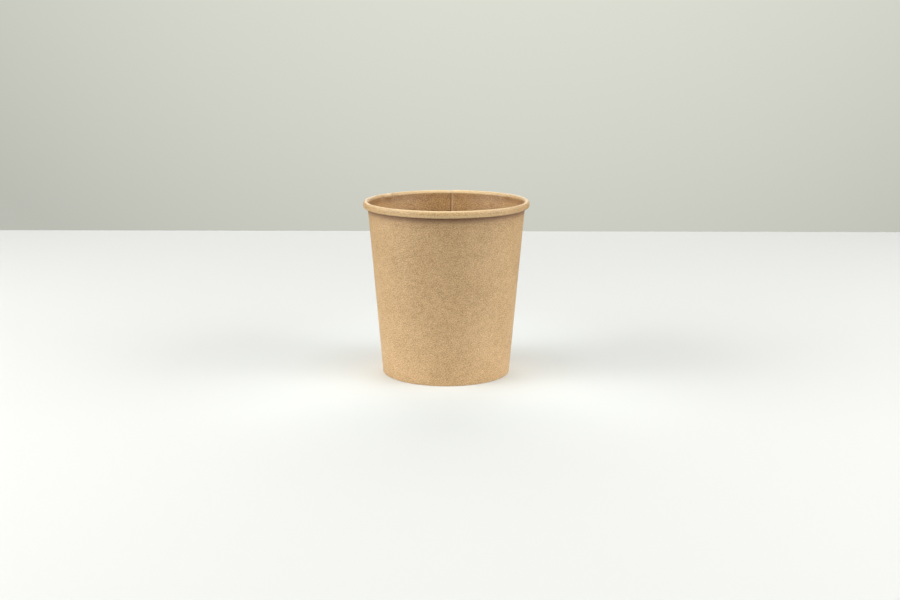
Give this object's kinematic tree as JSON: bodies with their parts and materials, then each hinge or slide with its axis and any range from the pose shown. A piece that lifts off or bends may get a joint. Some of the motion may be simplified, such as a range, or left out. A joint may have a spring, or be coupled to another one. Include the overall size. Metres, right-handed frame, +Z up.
{
  "type": "soup cup",
  "caption": "Round tapered soup cup of kraft board, with a rolled rim, a lap seam up the back and a recessed base.",
  "frame": {"origin": "centre of the foot on the surface that the cup stands on", "axes": "+Z up along the cup's axis, and +Y through the cut edge of the lap seam, which is at the back"},
  "size_m": [0.0968, 0.097, 0.102],
  "materials": {
    "kraft_wall": "uncoated kraft board outside, thin satin barrier coating inside and on the rolled rim",
    "kraft_disc": "kraft board with a thin satin barrier coating on its upper side"
  },
  "bodies": {
    "root": {"sidewall": "kraft_wall", "base_disc": "kraft_disc"}
  },
  "joints": []
}
